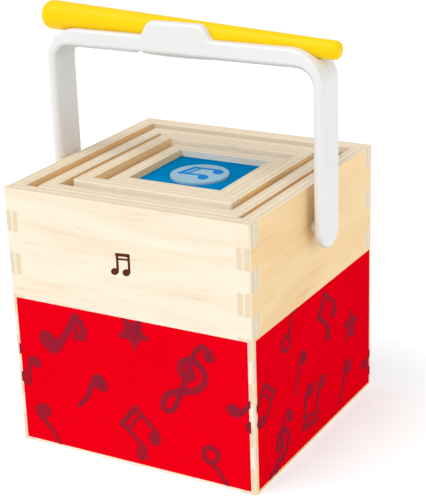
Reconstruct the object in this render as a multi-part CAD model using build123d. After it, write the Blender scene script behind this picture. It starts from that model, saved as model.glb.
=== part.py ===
"""Nesting music boxes with a carrying handle and a mallet.

A plywood drum box stands on the floor and holds three smaller boxes, one inside the other: a guiro box,
a tone box and a closed shaker box. A plastic bail handle swings on the drum's side walls, and a tapered
mallet is pressed into a saddle on top of the handle.

Frame: millimetres, +Z up, +X to the right, the front faces -Y. The origin is the centre of the footprint.
"""

import os
from math import atan, degrees, floor, hypot

from build123d import *

# ---------------------------------------------------------------- driving dimensions
DRUM_SIZE = 145.0  # outer width and depth of the drum box
DRUM_HEIGHT = 146.0
DRUM_WALL = 8.5  # plywood of the drum box
INNER_WALL = 8.0  # plywood of the three nested boxes

GUIRO_GAP = 4.2  # free space at each side between each box and the one that holds it
TONE_GAP = 4.2
SHAKER_GAP = 4.0
TONE_SHIFT = 1.8  # the two inner boxes stand a little to the right of the middle
SHAKER_SHIFT = 3.9
GUIRO_RIM = -1.4  # height of each nested rim above the drum's rim
TONE_RIM = 0.3
SHAKER_RIM = -1.4

PANEL = 4.0  # thickness of every bottom panel
PANEL_RECESS = 3.0  # bottom edge of the walls to the underside of the panel
GROOVE = 3.0  # how far a panel reaches into each wall
PANEL_FIT = 0.15  # free space at the edge of a panel in its groove

FINGER = 11.85  # pitch of the corner finger joints, counted from the rim
MIN_FINGER = 6.0  # a shorter last finger is joined to the one above it
CORNER_ROUND = 1.8  # vertical outer corners
EDGE_ROUND = 0.6  # rim and bottom edges

FILM = 0.25  # thickness of a printed film
FILM_TOP = 85.0  # height of the drum's printed area
FILM_SIDE = 3.0  # bare wood beside a film
FILM_BOTTOM = 2.0  # bare wood under a film
FILM_SHARE = 0.56  # height of a nested box's film, as a share of the box

# handle
ARM_GAP = 4.15  # drum wall to the inside of an arm
ARM_THICK = 5.4
ARM_WIDE = 21.4
PIVOT_Y = -2.2  # the pivots stand a little in front of the middle
PIVOT_DROP = 23.0  # rim to the pivot axis
GRIP_CLEAR = 61.5  # rim to the underside of the crossbar
BAR_TALL = 9.9
BAR_CORNER = 18.5  # outer corner radius
BAR_INNER_CORNER = 9.5
OUTER_ROUND = 1.8  # long edges on the outside of the bail
INNER_ROUND = 3.0  # long edges on the inside, where the hand goes
BELLY_LONG = 50.0  # swelling under the saddle
BELLY_DEEP = 1.2
BELLY_WIDE = 13.0
SADDLE_SHIFT = -1.1  # middle of the saddle along the crossbar
SADDLE_TALL = 7.9  # the front cheek above the crossbar
SADDLE_BACK = 4.2  # the lower back cheek, over which the mallet rolls out
SADDLE_TOP = 32.1  # length of the front cheek along its top, before rounding
SADDLE_FOOT = 41.3  # and along the crossbar
SADDLE_ROUND = 6.0  # shoulders of the front cheek
SADDLE_FOOT_ROUND = 2.8
CHEEK_ROUND = 2.0  # outer top edges of the cheeks
NOTCH_START = 25.6  # moulding notch at the left end of the swelling, from the middle
NOTCH_LONG = 5.0
NOTCH_TALL = 1.8

# pivots
SHAFT_R = 3.2
SHAFT_FIT = 0.08  # running clearance, radial
SHAFT_PLAY = 0.15  # running clearance, end to end
HUB_R = 4.0
POCKET_R = 9.0  # counterbore inside the wall
POCKET_DEEP = 3.6
WASHER_R = 8.0
WASHER = 1.0
SCREW_R = 1.6
SCREW_FIT = 0.05
SCREW_HEAD_R = 3.4
SCREW_HEAD = 2.0
SCREW_LONG = 9.0  # shank, under the head
DRIVE_R = 1.0  # half width of the cross recess
DRIVE_DEEP = 1.0

# mallet
MALLET_LONG = 176.2
MALLET_THICK_R = 8.0
MALLET_THIN_R = 4.8
MALLET_END = 0.72  # share of the end radius that is rounded
MALLET_LEFT_Z = 76.3  # axis above the rim at the thick end
MALLET_RIGHT_Z = 70.0  # axis above the rim at the thin end
MALLET_FIT = 0.2

# shaker
LID_RECESS = 4.0
LID = 4.0
WINDOW_R = 16.2
WINDOW_SEAT = 1.8  # how deep the window sits in the lid
WINDOW_PROUD = 1.5  # window above the lid's face
WINDOW_ROUND = 0.8
WINDOW_LEDGE = 1.4
WINDOW_FIT = 0.1
BEAD_R = 4.0
BEAD_GAP = 0.6
BEAD_ROWS = 5

# guiro and tone slots
RIDGE_PITCH = 6.0
RIDGE_DEEP = 2.4
RIDGE_COUNT = 9
RIDGE_FOOT = 12.0  # lowest ridge above the bottom of the guiro box
SLOT = 1.4  # width of the slits in the tone box's panel
TONGUE_LONG = 26.0
TONGUE_WIDE = 24.0

# ---------------------------------------------------------------- derived sizes
RIM = DRUM_HEIGHT
PIVOT_Z = RIM - PIVOT_DROP
BAR_BOTTOM = RIM + GRIP_CLEAR
BAR_TOP = BAR_BOTTOM + BAR_TALL
ARM_IN = DRUM_SIZE / 2 + ARM_GAP
ARM_OUT = ARM_IN + ARM_THICK
PANEL_TOP = PANEL_RECESS + PANEL
HUGE = 4 * (DRUM_SIZE + DRUM_HEIGHT)  # longer than anything here

os.makedirs("parts", exist_ok=True)


def block(x0, x1, y0, y1, z0, z1):
    """A box from its two corners."""
    return Pos((x0 + x1) / 2, (y0 + y1) / 2, (z0 + z1) / 2) * Box(x1 - x0, y1 - y0, z1 - z0)


def rod(radius, x0, x1, y=0.0, z=0.0):
    """A cylinder along X."""
    return Pos((x0 + x1) / 2, y, z) * Rot(0, 90, 0) * Cylinder(radius, abs(x1 - x0))


def mirrored(shape):
    """The same shape on the other side, left for right."""
    return mirror(shape, about=Plane.YZ)


def save(name, *shapes):
    """Writes one node: one solid, or a group of separate solids."""
    export_step(shapes[0] if len(shapes) == 1 else Compound(children=list(shapes)), f"parts/{name}.step")


# ---------------------------------------------------------------- boxes
class NestBox:
    """The sizes of one square box: its outer size, wall, foot and rim."""

    def __init__(self, name, size, wall, foot, rim):
        self.name = name
        self.size = size
        self.wall = wall
        self.foot = foot
        self.rim = rim
        self.half = size / 2
        self.inner = size / 2 - wall

    def levels(self):
        """The finger joint from the rim down, as (low, high) pairs. The last finger takes what is left."""
        count = max(2, floor((self.rim - self.foot) / FINGER))
        tops = [self.rim - i * FINGER for i in range(count)]
        if self.rim - count * FINGER - self.foot > MIN_FINGER:
            tops.append(self.rim - count * FINGER)
        return list(zip(tops[1:] + [self.foot], tops))

    def ring(self):
        """All four walls as one piece, with eased corners and edges."""
        tall = self.rim - self.foot
        outer = Pos(0, 0, self.foot + tall / 2) * Box(self.size, self.size, tall)
        outer = fillet(outer.edges().filter_by(Axis.Z), CORNER_ROUND)
        tube = outer - block(-self.inner, self.inner, -self.inner, self.inner, self.foot - 1, self.rim + 1)
        flat = tube.faces().filter_by(Axis.Z)
        return fillet([e for f in flat for e in f.edges()], EDGE_ROUND)

    def groove(self, low, thick):
        """The space that a panel's edge takes in the walls."""
        reach = self.inner + GROOVE
        return block(-reach, reach, -reach, reach, low, low + thick)

    def panel(self, low, thick):
        """A panel that rests in the groove."""
        reach = self.inner + GROOVE - PANEL_FIT
        return block(-reach, reach, -reach, reach, low, low + thick)

    def masks(self):
        """What each wall keeps of the ring: its own span, and every other finger at both corners."""
        far = self.half + 1
        low, high = self.foot - 1, self.rim + 1
        front, side = [], []
        for i, (z0, z1) in enumerate(self.levels()):
            z0 = low if z0 == self.foot else z0
            z1 = high if z1 == self.rim else z1
            for sign in (-1, 1):
                a, b = sorted((sign * self.inner, sign * far))
                if i % 2 == 0:
                    front.append(block(a, b, -far, -self.inner, z0, z1))
                else:
                    side.append(block(self.inner, far, a, b, z0, z1))
        front_mask = block(-self.inner, self.inner, -far, -self.inner, low, high).fuse(*front)
        side_mask = block(self.inner, far, -self.inner, self.inner, low, high).fuse(*side)
        return {
            "front": front_mask,
            "back": mirror(front_mask, about=Plane.XZ),
            "left": mirrored(side_mask),
            "right": side_mask,
        }

    def walls(self, cuts=()):
        """The four walls, finger-jointed at the corners, after the cuts."""
        tube = self.ring()
        for cut in cuts:
            tube = tube - cut
        return {side: tube & mask for side, mask in self.masks().items()}

    def films(self, top):
        """The printed film on the outside of each wall."""
        reach = self.half - FILM_SIDE
        front = block(-reach, reach, -self.half - FILM, -self.half, self.foot + FILM_BOTTOM, top)
        turned = {"front": 0, "right": 90, "back": 180, "left": 270}
        return {side: Rot(0, 0, angle) * front for side, angle in turned.items()}


def inside(parent, name, gap, rim):
    """The box that stands on the parent's panel, drawn with the same gap all round."""
    return NestBox(name, 2 * (parent.inner - gap), INNER_WALL, parent.foot + PANEL_TOP, RIM + rim)


DRUM = NestBox("drum", DRUM_SIZE, DRUM_WALL, 0.0, RIM)
GUIRO = inside(DRUM, "guiro_box", GUIRO_GAP, GUIRO_RIM)
TONE = inside(GUIRO, "tone_box", TONE_GAP, TONE_RIM)
SHAKER = inside(TONE, "shaker_box", SHAKER_GAP, SHAKER_RIM)


def film_top(box):
    """Where a nested box's film ends."""
    return box.foot + FILM_SHARE * (box.rim - box.foot)


def write_box(box, cuts=(), at=Pos(0, 0, 0)):
    """Writes the four walls of a box, moved to where it stands. Returns the underside of its bottom panel."""
    bottom = box.foot + PANEL_RECESS
    for side, wall in box.walls([box.groove(bottom, PANEL), *cuts]).items():
        save(f"{box.name}_wall_{side}", at * wall)
    return bottom


# ---------------------------------------------------------------- handle pivots
# The pivots, the handle and the mallet are drawn about Y = 0 and moved to the pivots when they are used.
AT_PIVOTS = Pos(0, PIVOT_Y, 0)
POCKET_FLOOR = DRUM.inner + POCKET_DEEP  # the face that the washer runs on
SHAFT_END = POCKET_FLOOR - SHAFT_PLAY
WASHER_IN = SHAFT_END - WASHER


def pivot_bore():
    """The bore and counterbore through the right wall."""
    bore = rod(SHAFT_R + SHAFT_FIT, DRUM.inner - 1, DRUM.half + 1, z=PIVOT_Z)
    pocket = rod(POCKET_R, DRUM.inner - 1, POCKET_FLOOR, z=PIVOT_Z)
    return bore + pocket


def pivot_washer():
    """The washer that keeps the shaft in the right wall."""
    hole = rod(SCREW_R + SCREW_FIT, WASHER_IN - 1, SHAFT_END + 1, z=PIVOT_Z)
    return rod(WASHER_R, WASHER_IN, SHAFT_END, z=PIVOT_Z) - hole


def pivot_screw():
    """The pan-head screw that holds the washer on the shaft."""
    head = rod(SCREW_HEAD_R, WASHER_IN - SCREW_HEAD, WASHER_IN, z=PIVOT_Z)
    head = fillet(head.edges().sort_by(Axis.X)[0], SCREW_HEAD / 3)
    shank = rod(SCREW_R, WASHER_IN, WASHER_IN + SCREW_LONG, z=PIVOT_Z)
    face = WASHER_IN - SCREW_HEAD
    arm = SCREW_HEAD_R * 0.6
    cross = block(face - 1, face + DRIVE_DEEP, -arm, arm, PIVOT_Z - DRIVE_R / 2, PIVOT_Z + DRIVE_R / 2)
    cross += block(face - 1, face + DRIVE_DEEP, -DRIVE_R / 2, DRIVE_R / 2, PIVOT_Z - arm, PIVOT_Z + arm)
    return head + shank - cross


def pivot_hub():
    """What stands on the inside of the right arm: a spacer and the shaft, with the screw's pilot hole."""
    root = ARM_IN + ARM_THICK / 2
    spacer = rod(HUB_R, DRUM.half + SHAFT_PLAY, root, z=PIVOT_Z)
    shaft = rod(SHAFT_R, SHAFT_END, root, z=PIVOT_Z)
    return spacer + shaft


def pilot_hole():
    """The hole that the screw is driven into."""
    return rod(SCREW_R + SCREW_FIT, SHAFT_END - 1, WASHER_IN + SCREW_LONG + 1, z=PIVOT_Z)


# ---------------------------------------------------------------- mallet
MALLET_MID_Z = RIM + (MALLET_LEFT_Z + MALLET_RIGHT_Z) / 2
MALLET_TILT = degrees(atan((MALLET_LEFT_Z - MALLET_RIGHT_Z) / MALLET_LONG))


def mallet_frame():
    """The mallet's own axis along X, tilted with the taper."""
    return Pos(0, 0, MALLET_MID_Z) * Rot(0, MALLET_TILT, 0)


def taper(half, grow):
    """A cone frustum along X, thick end at -half, each radius larger by grow."""
    cone = Cone(MALLET_THICK_R + grow, MALLET_THIN_R + grow, 2 * half)
    return Rot(0, 90, 0) * cone


def mallet():
    """The tapered stick, with domed ends."""
    stick = taper(MALLET_LONG / 2, 0)
    ends = stick.edges().filter_by(GeomType.CIRCLE).sort_by(Axis.X)
    stick = fillet(ends[0], MALLET_END * MALLET_THICK_R)
    ends = stick.edges().filter_by(GeomType.CIRCLE).sort_by(Axis.X)
    stick = fillet(ends[-1], MALLET_END * MALLET_THIN_R)
    return mallet_frame() * stick


def mallet_bed():
    """The trough that the mallet lies in, open upwards."""
    half = MALLET_LONG / 2
    thick, thin = MALLET_THICK_R + MALLET_FIT, MALLET_THIN_R + MALLET_FIT
    outline = Polyline((-half, -thick), (half, -thin), (half, thin), (-half, thick), close=True)
    mouth = extrude(make_face(outline), BAR_TALL + SADDLE_TALL + MALLET_THICK_R)
    return mallet_frame() * (taper(half, MALLET_FIT) + mouth)


# ---------------------------------------------------------------- handle
def arch(half, top, radius, low):
    """The face of an upside-down U in the XZ plane: straight sides and round shoulders."""
    shoulder = top - radius
    with BuildSketch(Plane.XZ) as sketch:
        with BuildLine():
            left = Line((-half, low), (-half, shoulder))
            bend = RadiusArc(left @ 1, (-half + radius, top), radius)
            bar = Line(bend @ 1, (half - radius, top))
            other = RadiusArc(bar @ 1, (half, shoulder), radius)
            right = Line(other @ 1, (half, low))
            Line(right @ 1, left @ 0)
        make_face()
    return sketch.sketch


def saddle_profile(tall):
    """The side view of a cheek: a flat top with round shoulders, and a round foot on each side."""
    share = tall / SADDLE_TALL
    foot = SADDLE_FOOT / 2
    top = foot - share * (SADDLE_FOOT - SADDLE_TOP) / 2
    end = foot + 2 * SADDLE_FOOT_ROUND
    z = BAR_TOP + tall
    low = BAR_BOTTOM + BAR_TALL / 2
    foot_round, shoulder = SADDLE_FOOT_ROUND, SADDLE_ROUND * share
    with BuildSketch(Plane.XZ) as sketch:
        with BuildLine():
            FilletPolyline(
                (-end, low), (-end, BAR_TOP), (-foot, BAR_TOP), (-top, z),
                (top, z), (foot, BAR_TOP), (end, BAR_TOP), (end, low),
                radius=[0.01, foot_round, shoulder, shoulder, foot_round, 0.01],
            )
            Line((end, low), (-end, low))
        make_face()
    return sketch.sketch


def across(face, wide):
    """A face in the XZ plane, made wide along Y and centred."""
    return extrude(face, wide / 2, both=True)


def belly():
    """The shallow swelling under the saddle."""
    half = BELLY_LONG / 2
    radius = (half * half + BELLY_DEEP * BELLY_DEEP) / (2 * BELLY_DEEP)
    lens = Pos(0, 0, BAR_BOTTOM - BELLY_DEEP + radius) * Rot(90, 0, 0) * Cylinder(radius, BELLY_WIDE)
    return lens & block(-half, half, -BELLY_WIDE, BELLY_WIDE, BAR_BOTTOM - 2 * BELLY_DEEP, BAR_BOTTOM + 1)


def cheek(tall, front):
    """One side of the saddle, front or back of the mallet, with its outer top edges rounded."""
    both = across(saddle_profile(tall), ARM_WIDE)
    both = fillet([e for e in both.edges() if is_cheek_edge(e)], CHEEK_ROUND)
    y0, y1 = (-ARM_WIDE, 0) if front else (0, ARM_WIDE)
    return both & block(-SADDLE_FOOT, SADDLE_FOOT, y0, y1, BAR_BOTTOM, BAR_TOP + 2 * SADDLE_TALL)


def handle():
    """The moulded bail: two arms with round feet, a crossbar with the mallet's bed, and the saddle."""
    half_wide = ARM_WIDE / 2
    foot = PIVOT_Z - half_wide
    bail = across(arch(ARM_OUT, BAR_TOP, BAR_CORNER, foot), ARM_WIDE)
    bail -= across(arch(ARM_IN, BAR_BOTTOM, BAR_INNER_CORNER, foot - 1), ARM_WIDE + 2)
    keep = block(-HUGE, HUGE, -half_wide, half_wide, PIVOT_Z, RIM + HUGE)
    keep += rod(half_wide, -HUGE, HUGE, z=PIVOT_Z)
    bail = bail & keep
    bail = fillet([e for e in bail.edges() if is_inner_edge(e)], INNER_ROUND)
    bail = fillet([e for e in bail.edges() if is_outer_edge(e)], OUTER_ROUND)
    cheeks = cheek(SADDLE_TALL, True) + cheek(SADDLE_BACK, False)
    bail = bail + belly() + Pos(SADDLE_SHIFT, 0, 0) * cheeks + pivot_hub() + mirrored(pivot_hub())
    bail -= pilot_hole() + mirrored(pilot_hole())
    notch_end = NOTCH_LONG - NOTCH_START
    bail -= block(-NOTCH_START, notch_end, -half_wide - 1, 0, BAR_BOTTOM - 2, BAR_BOTTOM + NOTCH_TALL)
    return bail - mallet_bed()


def bail_edge(edge, half, top, corner):
    """True for the long edges, front and back, of the arch with this half width, top and corner radius."""
    mid = edge.center()
    if abs(abs(mid.X) - half) < 0.01:
        return True
    if abs(abs(mid.Y) - ARM_WIDE / 2) > 0.01 or mid.Z < PIVOT_Z:
        return False
    on_top = abs(mid.Z - top) < 0.01
    reach = hypot(abs(mid.X) - (half - corner), mid.Z - (top - corner))
    on_corner = abs(mid.X) > half - corner and abs(reach - 0.95 * corner) < 0.1 * corner
    return on_top or on_corner


def is_outer_edge(edge):
    """True for the long edges on the outside of the bail, feet included."""
    return bail_edge(edge, ARM_OUT, BAR_TOP, BAR_CORNER)


def is_inner_edge(edge):
    """True for the long edges on the inside of the bail, feet included."""
    return bail_edge(edge, ARM_IN, BAR_BOTTOM, BAR_INNER_CORNER)


def is_cheek_edge(edge):
    """True for the edges along the top and shoulders of the cheeks, front and back."""
    mid = edge.center()
    return abs(abs(mid.Y) - ARM_WIDE / 2) < 0.01 and mid.Z > BAR_TOP + SADDLE_FOOT_ROUND / 4


# ---------------------------------------------------------------- nested instruments
def guiro_ridges():
    """Round-bottomed grooves across the guiro box's right wall, to scrape with the mallet."""
    reach = GUIRO.half - INNER_WALL - RIDGE_PITCH
    centre = GUIRO.half - RIDGE_DEEP + RIDGE_PITCH / 2
    grooves = []
    for i in range(RIDGE_COUNT):
        z = GUIRO.foot + RIDGE_FOOT + (i + 0.5) * RIDGE_PITCH
        grooves.append(Pos(centre, 0, z) * Rot(90, 0, 0) * Cylinder(RIDGE_PITCH / 2, 2 * reach))
    return grooves


def tone_slits():
    """Slits that free two tongues of different length in the tone box's panel."""
    low = TONE.foot
    high = low + PANEL_TOP + 1
    slits = []
    for sign, long in ((-1, TONGUE_LONG), (1, TONGUE_LONG * 0.75)):
        for side in (-1, 1):
            x = side * TONGUE_WIDE / 2
            y0, y1 = sorted((0, sign * long))
            slits.append(block(x - SLOT / 2, x + SLOT / 2, y0, y1, low, high))
    slits.append(block(-(TONGUE_WIDE + SLOT) / 2, (TONGUE_WIDE + SLOT) / 2, -SLOT / 2, SLOT / 2, low, high))
    return slits


def shaker_lid():
    """The panel over the shaker, with a stepped round hole for the window."""
    top = SHAKER.rim - LID_RECESS
    lid = SHAKER.panel(top - LID, LID)
    lid -= Pos(0, 0, top - WINDOW_SEAT / 2 + 0.5) * Cylinder(WINDOW_R, WINDOW_SEAT + 1)
    return lid - Pos(0, 0, top - LID / 2) * Cylinder(WINDOW_R - WINDOW_LEDGE, LID + 2)


def shaker_window():
    """The disc in the lid. It stands a little proud, with a rounded edge."""
    thick = WINDOW_SEAT + WINDOW_PROUD
    middle = SHAKER.rim - LID_RECESS + WINDOW_PROUD - thick / 2
    disc = Pos(0, 0, middle) * Cylinder(WINDOW_R - WINDOW_FIT, thick)
    return fillet(disc.edges().sort_by(Axis.Z)[-1], WINDOW_ROUND)


def shaker_beads():
    """A layer of loose beads on the shaker's bottom panel."""
    pitch = 2 * BEAD_R + BEAD_GAP
    floor_z = SHAKER.foot + PANEL_TOP
    start = -(BEAD_ROWS - 1) / 2 * pitch
    room = SHAKER.inner - BEAD_R
    places = [(start + i * pitch, start + j * pitch) for i in range(BEAD_ROWS) for j in range(BEAD_ROWS)]
    places = [(x, y) for x, y in places if max(abs(x), abs(y)) < room]
    return [Pos(x, y, floor_z + BEAD_R) * Sphere(BEAD_R) for x, y in places]


# ---------------------------------------------------------------- write every node
bores = AT_PIVOTS * pivot_bore()
drum_bottom = write_box(DRUM, [bores, mirrored(bores)])
save("drum_head", DRUM.panel(drum_bottom, PANEL))
for face, film in DRUM.films(FILM_TOP).items():
    save(f"drum_print_{face}", film)

guiro_bottom = write_box(GUIRO, guiro_ridges())
save("guiro_box_panel", GUIRO.panel(guiro_bottom, PANEL))
guiro_films = GUIRO.films(film_top(GUIRO))
save("guiro_box_prints", *[guiro_films[face] for face in ("front", "back", "left")])

at_tone = Pos(TONE_SHIFT, 0, 0)
tone_bottom = write_box(TONE, at=at_tone)
tone_panel = TONE.panel(tone_bottom, PANEL)
for slit in tone_slits():
    tone_panel -= slit
save("tone_box_panel", at_tone * tone_panel)
save("tone_box_prints", *[at_tone * film for film in TONE.films(film_top(TONE)).values()])

at_shaker = Pos(SHAKER_SHIFT, 0, 0)
shaker_bottom = write_box(SHAKER, [SHAKER.groove(SHAKER.rim - LID_RECESS - LID, LID)], at_shaker)
save("shaker_box_panel", at_shaker * SHAKER.panel(shaker_bottom, PANEL))
save("shaker_box_prints", *[at_shaker * film for film in SHAKER.films(film_top(SHAKER)).values()])
save("shaker_lid", at_shaker * shaker_lid())
save("shaker_window", at_shaker * shaker_window())
save("shaker_beads", *[at_shaker * bead for bead in shaker_beads()])

save("handle_bail", AT_PIVOTS * handle())
save("pivot_washers", *[AT_PIVOTS * washer for washer in (pivot_washer(), mirrored(pivot_washer()))])
save("pivot_screws", *[AT_PIVOTS * screw for screw in (pivot_screw(), mirrored(pivot_screw()))])
save("mallet", AT_PIVOTS * mallet())
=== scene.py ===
"""Looks for the nesting music boxes: plywood, printed films with note motifs, painted and moulded parts."""
from math import cos, pi, radians, sin

import bmesh
import bpy
from mathutils import Matrix, Vector, geometry


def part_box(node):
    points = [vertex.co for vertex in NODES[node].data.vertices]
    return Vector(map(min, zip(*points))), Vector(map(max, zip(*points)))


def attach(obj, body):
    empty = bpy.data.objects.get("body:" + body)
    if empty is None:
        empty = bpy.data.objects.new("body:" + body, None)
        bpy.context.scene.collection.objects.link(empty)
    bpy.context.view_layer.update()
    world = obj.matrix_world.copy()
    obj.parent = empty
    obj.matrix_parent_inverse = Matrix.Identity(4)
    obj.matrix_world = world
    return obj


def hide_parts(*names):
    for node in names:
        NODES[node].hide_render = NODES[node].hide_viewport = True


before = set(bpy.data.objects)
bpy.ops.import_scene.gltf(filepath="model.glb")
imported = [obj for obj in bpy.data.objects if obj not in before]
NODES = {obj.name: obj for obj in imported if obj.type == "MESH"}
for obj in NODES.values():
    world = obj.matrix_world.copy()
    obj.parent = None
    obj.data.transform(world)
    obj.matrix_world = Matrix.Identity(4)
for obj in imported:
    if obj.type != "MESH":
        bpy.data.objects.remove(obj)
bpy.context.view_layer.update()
MM = 0.001

SIDES = ("front", "right", "back", "left")
SIDE_TURN = {"front": 0, "right": 90, "back": 180, "left": 270}
FILM_SHARE = 0.55  # how much of the CAD film's thickness the film takes; the ink takes the rest
INK_OVER = 0.8  # millimetres that the ink runs past the film at the sides
INK_SUNK = 0.05  # and reaches into what is under it
INK_PROUD = 0.07  # and stands above it, where there is no film

# linear colours of the plywood: the drum's front and back and every panel; the nested boxes' front and back,
# a paler copy that is painted light; all left and right walls, a warmer, deeper copy that is partly painted
# shade; and sawn edges
VENEER = {"pale": (0.91, 0.81, 0.665), "mid": (0.88, 0.76, 0.59), "dark": (0.79, 0.62, 0.42)}
# painted light: the veneer made paler for the nested boxes' front and back walls, to lift them against the
# shade in the narrow gaps between the boxes
PAINTED_LIGHT_VENEER = {"pale": (1.0, 0.93, 0.80), "mid": (0.98, 0.88, 0.73), "dark": (0.90, 0.74, 0.55)}
# a warmer, deeper copy of the veneer for every left and right wall: partly a warmer veneer, partly painted
# shade on the faces that look sideways, the inner faces in the gaps included
WARM_AND_SHADED_VENEER = {"pale": (0.96, 0.70, 0.38), "mid": (0.93, 0.64, 0.32), "dark": (0.82, 0.48, 0.19)}
EDGE = {"pale": (0.86, 0.74, 0.56), "mid": (0.79, 0.65, 0.46), "dark": (0.68, 0.53, 0.35)}

# linear colours of the rest
RED = (0.77, 0.0, 0.008)
MAROON = (0.27, 0.012, 0.028)
SUN = (0.92, 0.55, 0.01)
AMBER = (0.55, 0.22, 0.004)
GREEN = (0.10, 0.42, 0.06)
FOREST = (0.03, 0.17, 0.03)
BLUE = (0.0, 0.22, 0.51)
NAVY = (0.002, 0.07, 0.25)
BROWN = (0.10, 0.028, 0.014)
SKY = (0.02, 0.22, 0.60)
FROST = (0.27, 0.46, 0.57)
YELLOW = (0.96, 0.62, 0.0)
ORANGE = (0.95, 0.50, 0.0)
BEAD = (0.72, 0.44, 0.20)
BEAD_DEEP = (0.5, 0.26, 0.1)
WHITE = (0.79, 0.785, 0.785)


# ---------------------------------------------------------------- shader helpers
def shade_of(colour, share):
    """A colour made darker or lighter, with no channel over 1."""
    return tuple(min(1.0, channel * share) for channel in colour)


class Shader:
    """A material under construction: short names for the nodes used here."""

    def __init__(self, name):
        self.material = bpy.data.materials.new(name)
        self.material.use_nodes = True
        self.tree = self.material.node_tree
        self.tree.nodes.clear()
        surface = self.tree.nodes.new("ShaderNodeOutputMaterial")
        self.bsdf = self.tree.nodes.new("ShaderNodeBsdfPrincipled")
        self.tree.links.new(self.bsdf.outputs[0], surface.inputs[0])
        self.coords = self.tree.nodes.new("ShaderNodeTexCoord")

    def put(self, socket, value):
        """Links a socket to a socket, or sets its default."""
        if isinstance(value, bpy.types.NodeSocket):
            self.tree.links.new(value, socket)
        elif socket.type == "RGBA":
            value = value if isinstance(value, tuple) else (value, value, value)
            socket.default_value = (*value, 1.0)
        else:
            socket.default_value = value

    def math(self, kind, *values):
        """The output of a math node of this kind."""
        node = self.tree.nodes.new("ShaderNodeMath")
        node.operation = kind
        for socket, value in zip(node.inputs, values):
            self.put(socket, value)
        return node.outputs[0]

    def scaled(self, scale, source=None):
        """The source, or the object's own coordinates in metres, times scale along each axis."""
        node = self.tree.nodes.new("ShaderNodeMapping")
        self.put(node.inputs["Vector"], source or self.coords.outputs["Object"])
        node.inputs["Scale"].default_value = scale
        return node.outputs[0]

    def noise(self, vector, scale=1.0, detail=4.0, rough=0.55, distort=0.0):
        """Smooth noise over a vector."""
        node = self.tree.nodes.new("ShaderNodeTexNoise")
        self.put(node.inputs["Vector"], vector)
        node.inputs["Scale"].default_value = scale
        node.inputs["Detail"].default_value = detail
        node.inputs["Roughness"].default_value = rough
        node.inputs["Distortion"].default_value = distort
        return node.outputs["Fac"]

    def ramp(self, factor, stops):
        """A colour ramp from (place, colour) stops."""
        node = self.tree.nodes.new("ShaderNodeValToRGB")
        self.put(node.inputs[0], factor)
        ramp = node.color_ramp
        while len(ramp.elements) < len(stops):
            ramp.elements.new(0.5)
        for element, (place, colour) in zip(ramp.elements, stops):
            element.position = place
            element.color = (*colour, 1.0) if isinstance(colour, tuple) else (colour, colour, colour, 1.0)
        return node.outputs[0]

    def mix(self, factor, a, b, blend="MIX"):
        """Colours a and b blended by factor."""
        node = self.tree.nodes.new("ShaderNodeMix")
        node.data_type = "RGBA"
        node.blend_type = blend
        self.put(node.inputs[0], factor)
        self.put(node.inputs[6], a)
        self.put(node.inputs[7], b)
        return node.outputs[2]

    def split(self, vector):
        """A vector's three components."""
        node = self.tree.nodes.new("ShaderNodeSeparateXYZ")
        self.put(node.inputs[0], vector)
        return node.outputs

    def bump(self, height, strength, distance, under=None):
        """A bumped normal, laid on the one under it if there is one."""
        node = self.tree.nodes.new("ShaderNodeBump")
        node.inputs["Strength"].default_value = strength
        node.inputs["Distance"].default_value = distance
        self.put(node.inputs["Height"], height)
        if under is not None:
            self.put(node.inputs["Normal"], under)
        return node.outputs[0]

    def finish(self, colour, rough, normal=None, **constants):
        """Sets the surface and returns the material. The constants name its other inputs."""
        self.put(self.bsdf.inputs["Base Color"], colour)
        self.put(self.bsdf.inputs["Roughness"], rough)
        if normal is not None:
            self.put(self.bsdf.inputs["Normal"], normal)
        for name, value in constants.items():
            self.bsdf.inputs[name.replace("_", " ").title().replace("Ior", "IOR")].default_value = value
        return self.material


# ---------------------------------------------------------------- materials
PLY_SEAMS = (0.14, 0.37, 0.63, 0.86)  # glue lines, as shares of the board's thickness
SEAM_HALF = 0.022  # half a glue line's width, in the same shares


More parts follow.
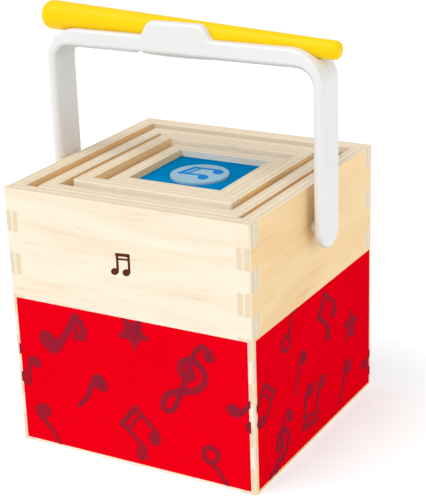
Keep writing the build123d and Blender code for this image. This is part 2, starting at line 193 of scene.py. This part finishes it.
def plywood(name, node, thick, grain, tones, shift=0.0):
    """Birch plywood: veneer on its two faces, and the stacked plies on its edges.

    thick is the axis through the board, and grain the axis along the face veneer's fibres. shift moves the
    pattern, in metres, so that no two boards are alike.
    """
    s = Shader(name)
    low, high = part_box(node)
    through, fibres = "XYZ".index(thick), "XYZ".index(grain)
    shifts = (shift, shift * 0.7, shift * 1.3)

    def along_grain(fine, coarse):
        scale = [fine, fine, fine]
        scale[fibres] = coarse
        return tuple(scale)

    moved = s.tree.nodes.new("ShaderNodeMapping")
    s.put(moved.inputs["Vector"], s.coords.outputs["Object"])
    moved.inputs["Location"].default_value = shifts
    place = moved.outputs[0]

    # veneer: broad growth figure, fine fibres, a few short pores
    figure = s.noise(s.scaled(along_grain(34, 5), place), detail=3.0, rough=0.5, distort=0.7)
    rings = s.math("PINGPONG", s.math("MULTIPLY", figure, 7.0), 1.0)
    fibre = s.noise(s.scaled(along_grain(480, 14), place), detail=4.0, rough=0.6)
    pores = s.noise(s.scaled(along_grain(1500, 60), place), detail=2.0, rough=0.5)
    tone = s.math("ADD", s.math("MULTIPLY", rings, 0.42), s.math("MULTIPLY", fibre, 0.58))
    veneer = s.ramp(tone, [(0.24, tones["pale"]), (0.62, tones["mid"]), (1.0, tones["dark"])])
    blotch = s.ramp(s.noise(s.scaled(along_grain(22, 9), place), detail=2.0), [(0.35, 1.0), (0.75, 0.93)])
    veneer = s.mix(1.0, veneer, blotch, "MULTIPLY")
    pore_dark = s.ramp(pores, [(0.64, 1.0), (0.74, 0.86)])
    veneer = s.mix(1.0, veneer, pore_dark, "MULTIPLY")

    # edge: the stacked plies, pale and tan in turn, with a thin glue line at each seam
    position = s.split(place)[through]
    low_t, high_t = low[through] + shifts[through], high[through] + shifts[through]
    waver = s.math("MULTIPLY", s.math("SUBTRACT", s.noise(place, scale=90, detail=2.0), 0.5), 0.05)
    share = s.math("ADD", s.math("DIVIDE", s.math("SUBTRACT", position, low_t), high_t - low_t), waver)
    pale, mid, dark = EDGE["pale"], EDGE["mid"], EDGE["dark"]
    stack = [(0.0, pale)]
    for ply, seam in enumerate(PLY_SEAMS):
        below, above = (pale, mid) if ply % 2 == 0 else (mid, pale)
        stack += [(seam - SEAM_HALF, below), (seam, dark), (seam + SEAM_HALF, above)]
    speck = s.ramp(s.noise(place, scale=700, detail=3.0, rough=0.7), [(0.3, 0.93), (0.7, 1.0)])
    edge = s.mix(1.0, s.ramp(share, stack), speck, "MULTIPLY")

    facing = s.math("ABSOLUTE", s.split(s.coords.outputs["Normal"])[through])
    is_face = s.ramp(facing, [(0.80, 0.0), (0.93, 1.0)])
    colour = s.mix(is_face, edge, veneer)
    rough = s.ramp(fibre, [(0.2, 0.42), (0.8, 0.56)])
    grain_bump = s.bump(fibre, 0.35, 0.00012)
    return s.finish(colour, rough, grain_bump, specular_ior_level=0.3)


def printed(name, colour, deep, gloss=0.36):
    """Ink on a satin film over wood: slight mottle, faint fibres showing through, soft rub marks."""
    s = Shader(name)
    mottle = s.noise(s.scaled((45, 45, 45)), detail=5.0, rough=0.6)
    fibre = s.noise(s.scaled((260, 260, 900)), detail=3.0, rough=0.6)
    shade = s.mix(s.ramp(mottle, [(0.38, 0.0), (0.78, 0.22)]), colour, deep)
    rub = s.ramp(s.noise(s.scaled((18, 18, 60)), detail=6.0, rough=0.7), [(0.45, gloss), (0.7, gloss + 0.12)])
    normal = s.bump(fibre, 0.18, 0.00008)
    return s.finish(shade, rub, normal, specular_ior_level=0.0)


def paint(name, colour, deep, gloss=0.3, sheen=0.12):
    """Sprayed paint on turned or flat wood: fibres telegraph through a soft gloss."""
    s = Shader(name)
    fibre = s.noise(s.scaled((14, 420, 420)), detail=5.0, rough=0.6)
    cloud = s.noise(s.scaled((30, 60, 60)), detail=4.0)
    peel = s.noise(s.scaled((900, 900, 900)), detail=2.0)
    shade = s.mix(s.ramp(s.math("MULTIPLY", cloud, fibre), [(0.18, 0.0), (0.5, 0.5)]), colour, deep)
    rough = s.ramp(cloud, [(0.3, gloss), (0.75, gloss + 0.12)])
    normal = s.bump(peel, 0.12, 0.00006, s.bump(fibre, 0.25, 0.00012))
    return s.finish(shade, rough, normal, specular_ior_level=sheen)


def moulded(name, colour, deep):
    """Injection-moulded gloss plastic: fine peel, flow marks and scuffs, and painted shade that darkens the
    surfaces facing down.
    """
    s = Shader(name)
    # painted shade: the colour falls to 0.72 of itself on surfaces facing down, as the shade under the bail
    up = s.math("MULTIPLY", s.math("ADD", s.split(s.coords.outputs["Normal"])[2], 1.0), 0.5)
    under = s.ramp(up, [(0.0, 0.72), (0.45, 1.0)])
    flow = s.noise(s.scaled((25, 70, 18)), detail=4.0, rough=0.6, distort=0.6)
    peel = s.noise(s.scaled((520, 520, 520)), detail=3.0)
    scuff = s.ramp(s.noise(s.scaled((90, 1400, 260)), detail=2.0), [(0.62, 0.0), (0.75, 1.0)])
    # the flow-marked colour, multiplied by the painted shade underneath
    shade = s.mix(1.0, s.mix(s.ramp(flow, [(0.4, 0.0), (0.8, 0.35)]), colour, deep), under, "MULTIPLY")
    rough = s.math("ADD", s.ramp(flow, [(0.3, 0.30), (0.8, 0.36)]), s.math("MULTIPLY", scuff, 0.04))
    return s.finish(shade, rough, s.bump(peel, 0.08, 0.00004), coat_weight=0.15, coat_roughness=0.2)


def frosted(name, colour):
    """The window: frosted plastic, lightly clouded."""
    s = Shader(name)
    cloud = s.noise(s.scaled((120, 120, 120)), detail=5.0)
    grit = s.noise(s.scaled((2600, 2600, 2600)), detail=2.0)
    shade = s.mix(s.ramp(cloud, [(0.3, 0.0), (0.8, 0.5)]), colour, shade_of(colour, 1.25))
    return s.finish(shade, s.ramp(cloud, [(0.3, 0.36), (0.8, 0.48)]), s.bump(grit, 0.2, 0.00005),
                    specular_ior_level=0.15)


def steel(name):
    """Zinc-plated steel: turned rings and a fine spangle."""
    s = Shader(name)
    ring = s.noise(s.scaled((600, 60, 60)), detail=4.0)
    spangle = s.noise(s.scaled((900, 900, 900)), detail=3.0)
    shade = s.ramp(spangle, [(0.3, (0.46, 0.46, 0.48)), (0.8, (0.70, 0.70, 0.72))])
    return s.finish(shade, s.ramp(ring, [(0.3, 0.22), (0.8, 0.42)]), s.bump(ring, 0.2, 0.00005), metallic=1.0)


FLOOR_GLOW = (0.92, 1.0, 1.0, 1.0)  # takes the drum's red bounce out of the paper
FLOOR_GLOW_STRENGTH = 0.5


def paper_floor(name):
    """The plain pale floor, with a barely visible tooth and a faint glow."""
    s = Shader(name)
    tooth = s.noise(s.scaled((400, 400, 400)), detail=3.0)
    shade = s.ramp(tooth, [(0.2, (0.58, 0.58, 0.58)), (0.8, (0.62, 0.62, 0.62))])
    return s.finish(shade, 0.75, s.bump(tooth, 0.05, 0.0001), specular_ior_level=0.0,
                    emission_color=FLOOR_GLOW, emission_strength=FLOOR_GLOW_STRENGTH)


def dress(node, material):
    """Gives a CAD node its material in every slot."""
    mesh = NODES[node].data
    mesh.materials.clear()
    mesh.materials.append(material)
    for polygon in mesh.polygons:
        polygon.material_index = 0


# ---------------------------------------------------------------- note motifs, in units of their own size
PEN = 1.18  # every stroke's width is multiplied by this
STAR_INNER = 0.56  # the star's inner corners, from its centre
STAR_TIP = 0.12  # radius of its rounded tips
STAR_TIP_AT = 0.90  # and their distance from its centre


def smooth(points, steps=10):
    """A Catmull-Rom curve through the points."""
    ends = [points[0], *points, points[-1]]
    curve = []
    for a, b, c, d in zip(ends, ends[1:], ends[2:], ends[3:]):
        for i in range(steps):
            t = i / steps
            curve.append(tuple(
                0.5 * (2 * q + (r - p) * t
                       + (2 * p - 5 * q + 4 * r - v) * t * t
                       + (3 * q - p - 3 * r + v) * t ** 3)
                for p, q, r, v in zip(a, b, c, d)
            ))
    curve.append(tuple(points[-1]))
    return curve


def ribbon(points, steps=10):
    """A pen stroke through (x, y, width) points, as a run of four-sided faces and round ends."""
    curve = smooth(points, steps)
    rims = []
    for i, (x, y, width) in enumerate(curve):
        x0, y0, _ = curve[max(i - 1, 0)]
        x1, y1, _ = curve[min(i + 1, len(curve) - 1)]
        along = Vector((x1 - x0, y1 - y0)).normalized()
        side = Vector((-along.y, along.x)) * PEN * width / 2
        rims.append((Vector((x, y)) + side, Vector((x, y)) - side))
    faces = [[a, b, d, c] for (a, b), (c, d) in zip(rims, rims[1:])]
    for x, y, width in (curve[0], curve[-1]):
        faces.append(oval(x, y, PEN * width / 2, PEN * width / 2))
    return faces


def oval(x, y, wide, tall, turn=0.0, count=20):
    """A filled oval, turned by an angle in degrees."""
    c, s = cos(radians(turn)), sin(radians(turn))
    return [
        Vector((x + wide * cos(a) * c - tall * sin(a) * s, y + wide * cos(a) * s + tall * sin(a) * c))
        for a in (2 * pi * i / count for i in range(count))
    ]


def star():
    """A soft five-pointed star, 2 across."""
    points = []
    for i in range(10):
        reach = 1.0 if i % 2 == 0 else STAR_INNER
        points.append(Vector((reach * sin(pi * i / 5), reach * cos(pi * i / 5))))
    centre = Vector((0, 0))
    arms = [[centre, points[i - 1], points[i], points[(i + 1) % 10]] for i in range(0, 10, 2)]
    tips = [
        oval(STAR_TIP_AT * points[i].x, STAR_TIP_AT * points[i].y, STAR_TIP, STAR_TIP, count=8)
        for i in range(0, 10, 2)
    ]
    return arms + tips


def eighth_note():
    """A leaning head at the origin, a stem 2 tall and a flag with a second stroke under it."""
    return (
        [oval(0, 0, 0.60, 0.42, -10, 28)]
        + ribbon([(0.44, 0.1, 0.36), (0.46, 1.0, 0.28), (0.44, 1.96, 0.32)])
        + ribbon([(0.44, 1.94, 0.32), (0.82, 1.88, 0.28), (1.08, 1.66, 0.30), (1.17, 1.38, 0.30)])
        + ribbon([(0.44, 1.58, 0.20), (0.68, 1.50, 0.20), (0.86, 1.30, 0.22), (0.92, 1.12, 0.24)])
    )


def quarter_note():
    """A leaning head at the origin and a long stem that sways."""
    return (
        [oval(0, 0, 0.68, 0.54, -25, 30)]
        + ribbon([
            (0.42, 0.1, 0.46), (0.50, 0.7, 0.36), (0.52, 1.4, 0.30), (0.68, 2.0, 0.26), (0.90, 2.6, 0.22),
        ])
    )


def ring_note():
    """An open ring for a head, a swaying stem and a short flag."""
    turns = [(0.58 * cos(a), 0.52 * sin(a), 0.32) for a in (pi / 6 * i for i in range(-1, 12))]
    stem = ribbon([(0.54, 0.1, 0.32), (0.50, 0.9, 0.28), (0.76, 1.8, 0.26), (1.0, 2.5, 0.26)])
    return ribbon(turns, 3) + stem + ribbon([(1.0, 2.45, 0.34), (1.25, 2.35, 0.36), (1.5, 2.05, 0.34)])


def beamed_notes(slant=0.1):
    """Two heads 1.5 apart, two stems and a double beam, rising by slant towards the second."""
    def stem(x, foot):
        return ribbon([(x, foot + 0.1, 0.28), (x + 0.03, foot + 1.0, 0.26), (x, foot + 2.1, 0.28)])

    return (
        [oval(0, 0, 0.52, 0.40, 25), oval(1.5, slant, 0.52, 0.40, 25)]
        + stem(0.38, 0) + stem(1.88, slant)
        + ribbon([(0.36, 2.04, 0.34), (1.1, 2.06 + slant / 2, 0.30), (1.90, 2.04 + slant, 0.34)])
        + ribbon([(0.38, 1.54, 0.20), (1.1, 1.55 + slant / 2, 0.18), (1.88, 1.54 + slant, 0.20)])
    )


def clef():
    """A treble clef as one pen stroke: a spiral, a tall loop over it and a hooked tail with a round end."""
    return ribbon([
        (0.10, -0.30, 0.16), (-0.22, -0.05, 0.24), (-0.05, 0.34, 0.29), (0.42, 0.28, 0.31),
        (0.62, -0.22, 0.33), (0.22, -0.72, 0.33), (-0.46, -0.66, 0.31), (-0.86, -0.10, 0.31),
        (-0.66, 0.62, 0.31), (-0.06, 1.22, 0.31), (0.44, 1.86, 0.29), (0.42, 2.52, 0.27),
        (0.08, 2.74, 0.25), (-0.18, 2.30, 0.25), (-0.10, 1.40, 0.26), (0.12, 0.0, 0.26),
        (0.30, -1.15, 0.26), (0.12, -1.72, 0.26), (-0.32, -1.72, 0.28),
    ]) + [oval(-0.40, -1.50, 0.34, 0.30)]


MOTIFS = {"star": star, "eighth": eighth_note, "quarter": quarter_note, "ring": ring_note,
          "beamed": beamed_notes, "clef": clef}

# motif, across, up, size, turn in degrees: millimetres from the middle of the drum wall's foot
FRONT_LAYOUT = (
    ("eighth", -50.0, 62.6, 12.4, -33),
    ("star", 3.5, 78, 9.6, 184),
    ("clef", 36.2, 61.5, 10.4, 150),
    ("eighth", -60.5, 49.0, 7.4, 172),
    ("quarter", -72.0, 54.5, 6.0, 60),
    ("quarter", -19.2, 44.9, 8.0, 158),
    ("quarter", -57.6, 20.4, 8.0, 226),
    ("beamed", 5.0, 9.0, 9.0, 48),
    ("ring", 46.6, 17.6, 7.8, 233),
    ("beamed", 61.0, 46.0, 8.6, -40),
)
RIGHT_LAYOUT = (
    ("ring", -37.1, 70.5, 7.4, -6),
    ("beamed", 13.3, 55.8, 8.8, 51),
    ("star", 43.3, 48.6, 9.9, -6),
    ("quarter", -17.5, 54.4, 7.2, 163),
    ("quarter", 38.8, 25.3, 7.8, 168),
    ("beamed", 5.2, 30.5, 10.0, 170),
    ("beamed", 62.3, 16.1, 8.2, -38),
    ("beamed", -76.0, 46.8, 8.6, -42),
    ("clef", -43.5, 16.5, 9.4, 150),
)
LAYOUTS = {"front": FRONT_LAYOUT, "right": RIGHT_LAYOUT, "back": FRONT_LAYOUT, "left": RIGHT_LAYOUT}


def placed(faces, across, up, size, turn):
    """A motif's faces, scaled, turned and moved."""
    c, s = cos(radians(turn)), sin(radians(turn))
    return [
        [Vector((across + size * (p.x * c - p.y * s), up + size * (p.x * s + p.y * c))) for p in face]
        for face in faces
    ]


SAME_POINT = 1e-4  # corners closer than this, in millimetres, are one
FILM_EASE = 0.12  # how far a film's front edges are eased, in millimetres


def covers(face, point):
    """True if a point lies in a face whose corners turn one way."""
    turns = [(b - a).cross(point - a) for a, b in zip(face, face[1:] + face[:1])]
    return min(turns) >= 0 or max(turns) <= 0


def merged(faces):
    """Overlapping flat faces as one sheet of triangles with no overlap."""
    points, rings = [], []
    for face in faces:
        rings.append(list(range(len(points), len(points) + len(face))))
        points.extend(face)
    verts, _, tris, *_ = geometry.delaunay_2d_cdt(points, [], rings, 0, SAME_POINT)
    kept = []
    for tri in tris:
        middle = sum((verts[i] for i in tri), Vector((0, 0))) / len(tri)
        if any(covers(face, middle) for face in faces):
            kept.append(tri)
    return verts, kept


def print_mesh(name, faces, window, low, high, place):
    """Ink as a thin solid: flat faces cut to the window, from low to high, all in millimetres, then moved."""
    mesh = bmesh.new()
    verts, tris = merged(faces)
    made = [mesh.verts.new((v.x, v.y, 0)) for v in verts]
    for tri in tris:
        if len(set(tri)) == len(tri):
            mesh.faces.new([made[i] for i in tri])
    x0, x1, y0, y1 = window
    cuts = (
        ((x0, 0, 0), (-1, 0, 0)),
        ((x1, 0, 0), (1, 0, 0)),
        ((0, y0, 0), (0, -1, 0)),
        ((0, y1, 0), (0, 1, 0)),
    )
    for point, normal in cuts:
        everything = mesh.verts[:] + mesh.edges[:] + mesh.faces[:]
        bmesh.ops.bisect_plane(mesh, geom=everything, plane_co=point, plane_no=normal, clear_outer=True)
    loose = [v for v in mesh.verts if not v.link_faces]
    bmesh.ops.delete(mesh, geom=loose, context="VERTS")
    bmesh.ops.recalc_face_normals(mesh, faces=mesh.faces[:])
    for face in mesh.faces:
        if face.normal.z < 0:
            face.normal_flip()
    raised = bmesh.ops.extrude_face_region(mesh, geom=mesh.faces[:])
    top = {part for part in raised["geom"] if isinstance(part, bmesh.types.BMVert)}
    for vert in mesh.verts:
        vert.co.z = high if vert in top else low
    bmesh.ops.recalc_face_normals(mesh, faces=mesh.faces[:])
    bmesh.ops.scale(mesh, vec=(MM, MM, MM), verts=mesh.verts[:])
    bmesh.ops.transform(mesh, matrix=place, verts=mesh.verts[:])
    return made_object(name, mesh)


def made_object(name, mesh):
    """Turns a bmesh into an object in the scene."""
    data = bpy.data.meshes.new(name)
    mesh.to_mesh(data)
    mesh.free()
    made = bpy.data.objects.new(name, data)
    bpy.context.scene.collection.objects.link(made)
    return made


def wall_frame(side, distance):
    """From a print's own frame, X across, Y up and Z out, to a wall's face at a distance from the axis."""
    upright = Matrix.Rotation(pi / 2, 4, "X")
    return Matrix.Rotation(radians(SIDE_TURN[side]), 4, "Z") @ Matrix.Translation((0, -distance, 0)) @ upright


def sheet_mesh(name, window, thick, place):
    """A film as a thin plate with eased front edges, in millimetres."""
    x0, x1, y0, y1 = window
    mesh = bmesh.new()
    corners = [(x0, y0), (x1, y0), (x1, y1), (x0, y1)]
    centre = ((x0 + x1) / 2, (y0 + y1) / 2)
    eased = []
    for x, y in corners:
        inward_x = FILM_EASE if x < centre[0] else -FILM_EASE
        inward_y = FILM_EASE if y < centre[1] else -FILM_EASE
        eased.append((x + inward_x, y + inward_y))
    levels = [(corners, 0.0), (corners, thick * 0.5), (eased, thick)]
    rings = [[mesh.verts.new((x, y, z)) for x, y in ring] for ring, z in levels]
    for lower, upper in zip(rings, rings[1:]):
        for i in range(4):
            mesh.faces.new([lower[i], lower[(i + 1) % 4], upper[(i + 1) % 4], upper[i]])
    mesh.faces.new(rings[-1])
    mesh.faces.new(rings[0][::-1])
    bmesh.ops.scale(mesh, vec=(MM, MM, MM), verts=mesh.verts[:])
    bmesh.ops.transform(mesh, matrix=place, verts=mesh.verts[:])
    return made_object(name, mesh)


# ---------------------------------------------------------------- build the prints
def dress_drum_films(red, ink):
    """Each drum film as a plate, with the notes printed on it."""
    for side in SIDES:
        node = f"drum_print_{side}"
        low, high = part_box(node)
        flat, out = (0, 1) if side in ("front", "back") else (1, 0)
        reach, foot, top = high[flat] / MM, low[2] / MM, high[2] / MM
        thick = high[out] - low[out]
        place = wall_frame(side, max(abs(low[out]), abs(high[out])) - thick)
        film = sheet_mesh(f"drum_film_{side}", (-reach, reach, foot, top), thick / MM * FILM_SHARE, place)
        film.data.materials.append(red)
        faces = [f for motif, *spot in LAYOUTS[side] for f in placed(MOTIFS[motif](), *spot)]
        inked = (-reach - INK_OVER, reach + INK_OVER, foot, top)
        notes = print_mesh(f"drum_notes_{side}", faces, inked, -INK_SUNK, thick / MM, place)
        notes.data.materials.append(ink)
        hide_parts(node)
        for piece in (film, notes):
            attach(piece, "drum")


WINDOW_NOTES = (0.33, -0.36, 0.46)  # across, up and size, as shares of the window's radius
WINDOW_TURN = 92  # degrees
WINDOW_SLANT = -0.45  # rise of their beam, in the motif's units
WINDOW_INKED = 0.93  # the ink stays within this share of the radius, across and up


def dress_window(ink):
    """Beamed notes printed on the shaker's window."""
    low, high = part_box("shaker_window")
    radius = (high[0] - low[0]) / 2 / MM
    across, up, size = (share * radius for share in WINDOW_NOTES)
    faces = placed(beamed_notes(WINDOW_SLANT), across, up, size, WINDOW_TURN)
    span = WINDOW_INKED * radius
    place = Matrix.Translation(((low[0] + high[0]) / 2, (low[1] + high[1]) / 2, high[2]))
    notes = print_mesh("window_notes", faces, (-span, span, -span, span), -INK_SUNK, INK_PROUD, place)
    notes.data.materials.append(ink)
    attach(notes, "shaker_box")


STAMP_SIZE = 4.6  # the pictogram's, in millimetres
STAMP_LEFT = 5.64  # from the drum's middle to its first head
STAMP_UP = 25.0  # from the film to its first head


def dress_pictogram(ink):
    """Small beamed notes stamped on the bare wood above the front film."""
    low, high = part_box("drum_wall_front")
    film_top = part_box("drum_print_front")[1][2] / MM
    faces = placed(beamed_notes(), -STAMP_LEFT, film_top + STAMP_UP, STAMP_SIZE, 0)
    window = (low[0] / MM, high[0] / MM, film_top, high[2] / MM)
    stamp = print_mesh("front_pictogram", faces, window, -INK_SUNK, INK_PROUD, wall_frame("front", -low[1]))
    stamp.data.materials.append(ink)
    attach(stamp, "drum")


# ---------------------------------------------------------------- dress the CAD
def dress_boxes():
    """Plywood for every wall and panel, each with its own cut of the grain."""
    boxes = ("drum", "guiro_box", "tone_box", "shaker_box")
    for number, box in enumerate(boxes):
        # the nested boxes' front and back walls take the paler copy of the veneer: painted light against the
        # shade in their gaps
        front_tones = VENEER if box == "drum" else PAINTED_LIGHT_VENEER
        for turn, side in enumerate(SIDES):
            node = f"{box}_wall_{side}"
            if side in ("front", "back"):
                thick, grain, tones = "Y", "X", front_tones
            else:
                # left and right walls take the warmer, deeper copy: partly a warmer veneer, partly painted
                # shade
                thick, grain, tones = "X", "Y", WARM_AND_SHADED_VENEER
            shift = 0.37 * number + 0.11 * turn
            dress(node, plywood(f"ply_{node}", node, thick, grain, tones, shift=shift))
        panel = "drum_head" if box == "drum" else f"{box}_panel"
        dress(panel, plywood(f"ply_{panel}", panel, "Z", "X", VENEER, shift=0.23 * number))


def dress_nested_films():
    """The printed films of the nested boxes keep their CAD shape."""
    inks = {"guiro_box": (SUN, AMBER), "tone_box": (GREEN, FOREST), "shaker_box": (BLUE, NAVY)}
    for box, (colour, deep) in inks.items():
        dress(f"{box}_prints", printed(f"print_{box}", colour, deep))


dress_boxes()
dress_nested_films()
print_red = printed("print_red", RED, shade_of(RED, 0.8))
dress_drum_films(print_red, printed("print_maroon", MAROON, RED, gloss=0.4))
dress("shaker_lid", paint("lid_blue", BLUE, NAVY, gloss=0.4, sheen=0.0))
dress("shaker_window", frosted("window_frost", FROST))
dress("shaker_beads", paint("beads_wood", BEAD, BEAD_DEEP))
dress_window(printed("print_sky", SKY, BLUE))
dress_pictogram(printed("print_brown", BROWN, shade_of(BROWN, 0.6)))
dress("handle_bail", moulded("bail_white", WHITE, shade_of(WHITE, 0.9)))
dress("mallet", paint("mallet_yellow", YELLOW, ORANGE))
for steel_node in ("pivot_washers", "pivot_screws"):
    dress(steel_node, steel(f"steel_{steel_node}"))


# ---------------------------------------------------------------- stage
FLOOR_HALF = 6.0  # metres
WORLD_STRENGTH = 0.66
# name, place it shines from, strength, angular size in degrees
SUNS = (
    ("key", (-0.6, -0.8, 1.9), 1.2, 35),
    ("front", (-0.3, -1.7, 0.9), 0.35, 30),
    ("side", (1.7, -0.3, 0.9), 0.42, 40),
)
LIT = (0, 0, 0.1)  # what the suns are aimed at

# the photograph's camera, fitted to the drum box's corners: metres, degrees, and a lens in millimetres
CAMERA_PLACE = (0.3796, -0.6436, 0.3787)
CAMERA_AZIMUTH = 29.839
CAMERA_DOWN = 20.65
CAMERA_ROLL = -2.009
CAMERA_LENS = 105
SENSOR = 36
NEAREST = 0.05


def make_floor():
    """A wide sheet of paper that the toy stands on."""
    mesh = bmesh.new()
    bmesh.ops.create_grid(mesh, x_segments=2, y_segments=2, size=FLOOR_HALF)
    floor = made_object("floor", mesh)
    floor.data.materials.append(paper_floor("floor_paper"))


def aim(light, place, target):
    """Puts a light at place, turned to target."""
    light.location = place
    light.rotation_mode = "QUATERNION"
    light.rotation_quaternion = (Vector(target) - Vector(place)).to_track_quat("-Z", "Y")
    bpy.context.scene.collection.objects.link(light)


def make_lights():
    """Three wide suns and a white world, as in a light tent."""
    for name, place, energy, spread in SUNS:
        sun = bpy.data.lights.new(name, "SUN")
        sun.energy = energy
        sun.angle = radians(spread)
        aim(bpy.data.objects.new(name, sun), place, LIT)
    world = bpy.data.worlds.new("studio")
    world.use_nodes = True
    background = world.node_tree.nodes["Background"]
    background.inputs["Color"].default_value = (1, 1, 1, 1)
    background.inputs["Strength"].default_value = WORLD_STRENGTH
    bpy.context.scene.world = world
    bpy.context.scene.view_settings.view_transform = "Standard"


def make_camera():
    """The camera that takes the photograph's view."""
    azimuth, down, roll = radians(CAMERA_AZIMUTH), radians(CAMERA_DOWN), radians(CAMERA_ROLL)
    turn = Matrix.Rotation(azimuth, 4, "Z") @ Matrix.Rotation(pi / 2 - down, 4, "X")
    data = bpy.data.cameras.new("camera")
    data.lens = CAMERA_LENS
    data.sensor_width = SENSOR
    data.clip_start = NEAREST
    camera = bpy.data.objects.new("camera", data)
    camera.matrix_world = Matrix.Translation(CAMERA_PLACE) @ turn @ Matrix.Rotation(roll, 4, "Z")
    bpy.context.scene.collection.objects.link(camera)
    bpy.context.scene.camera = camera


make_floor()
make_lights()
make_camera()
